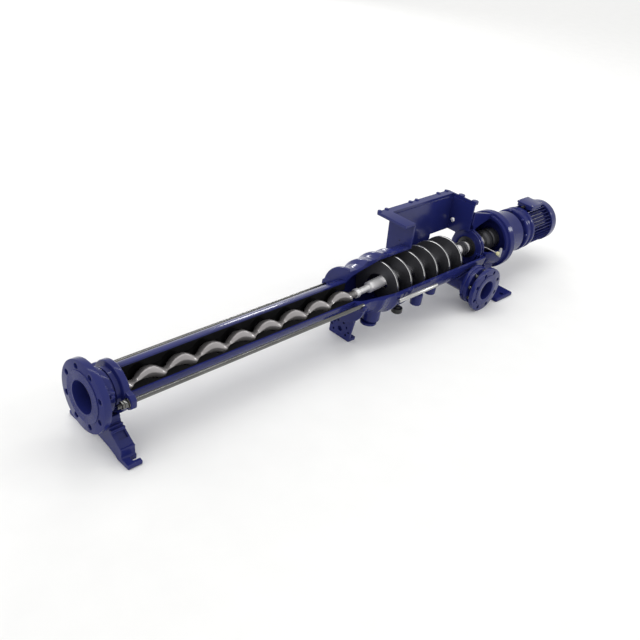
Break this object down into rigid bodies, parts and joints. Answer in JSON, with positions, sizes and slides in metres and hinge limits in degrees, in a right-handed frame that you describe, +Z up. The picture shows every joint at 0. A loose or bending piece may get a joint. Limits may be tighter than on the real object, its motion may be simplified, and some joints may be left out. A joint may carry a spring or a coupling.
{
  "type": "progressing cavity pump",
  "caption": "Horizontal hopper-fed screw pump with a quarter of its housings cut away to show the rotor, stator and feed auger, driven by a coaxial geared motor.",
  "frame": {"origin": "on the floor, under the middle of the pump's overall box", "axes": "+X along the pump axis from the discharge flange to the motor, +Z up, +Y away from the side port"},
  "size_m": [2.372, 0.38, 0.383],
  "materials": {
    "blue_paint": "gloss royal blue paint",
    "stator_rubber": "satin black elastomer",
    "rod_steel": "drawn grey steel",
    "polished_steel": "polished steel",
    "dark_steel": "dark turned steel with bright rims",
    "black_plastic": "satin black",
    "pale_yellow": "pale yellow plastic",
    "white_plastic": "off-white plastic"
  },
  "bodies": {
    "casing": {"discharge_casting": "blue_paint", "discharge_foot": "blue_paint", "stator_clamp_ring": "blue_paint", "stator_tube": "blue_paint", "stator_lining": "stator_rubber", "tie_rod_near": "rod_steel", "tie_rod_far": "rod_steel", "compression_housing": "blue_paint", "screw_trough": "blue_paint", "hopper": "blue_paint", "hopper_flange": "blue_paint", "port_spool": "blue_paint", "middle_foot": "blue_paint", "seal_housing": "blue_paint", "shaft_seal": "black_plastic", "lantern": "blue_paint", "gearbox": "blue_paint", "motor_flange": "blue_paint", "motor_body": "blue_paint", "fan_cover": "blue_paint", "terminal_box": "blue_paint", "cable_gland": "black_plastic", "trough_bar": "rod_steel", "drain_stub": "blue_paint", "drain_plug": "black_plastic", "grease_pipe": "polished_steel", "grease_knob": "pale_yellow", "grease_cup": "white_plastic", "hopper_plug": "polished_steel"},
    "drive_line": {"auger": "dark_steel", "drive_shaft": "polished_steel", "coupling": "dark_steel"},
    "link_rod": {"coupling_rod": "polished_steel"},
    "screw_rotor": {"rotor": "polished_steel"}
  },
  "joints": [
    {"name": "drive_spin", "type": "hinge", "parent": "casing", "child": "drive_line", "pos_m": [0.3, 0, 0.18], "axis": [1, 0, 0], "continuous": true},
    {"name": "rod_orbit", "type": "hinge", "parent": "casing", "child": "link_rod", "pos_m": [0, 0, 0.18], "axis": [1, 0, 0], "continuous": true},
    {"name": "rotor_spin", "type": "hinge", "parent": "link_rod", "child": "screw_rotor", "pos_m": [-0.5, -0.006, 0.16961], "axis": [1, 0, 0], "continuous": true}
  ],
  "couplings": [
    {"joint": "rod_orbit", "follows": "drive_spin", "ratio": -1},
    {"joint": "rotor_spin", "follows": "drive_spin", "ratio": 2}
  ]
}
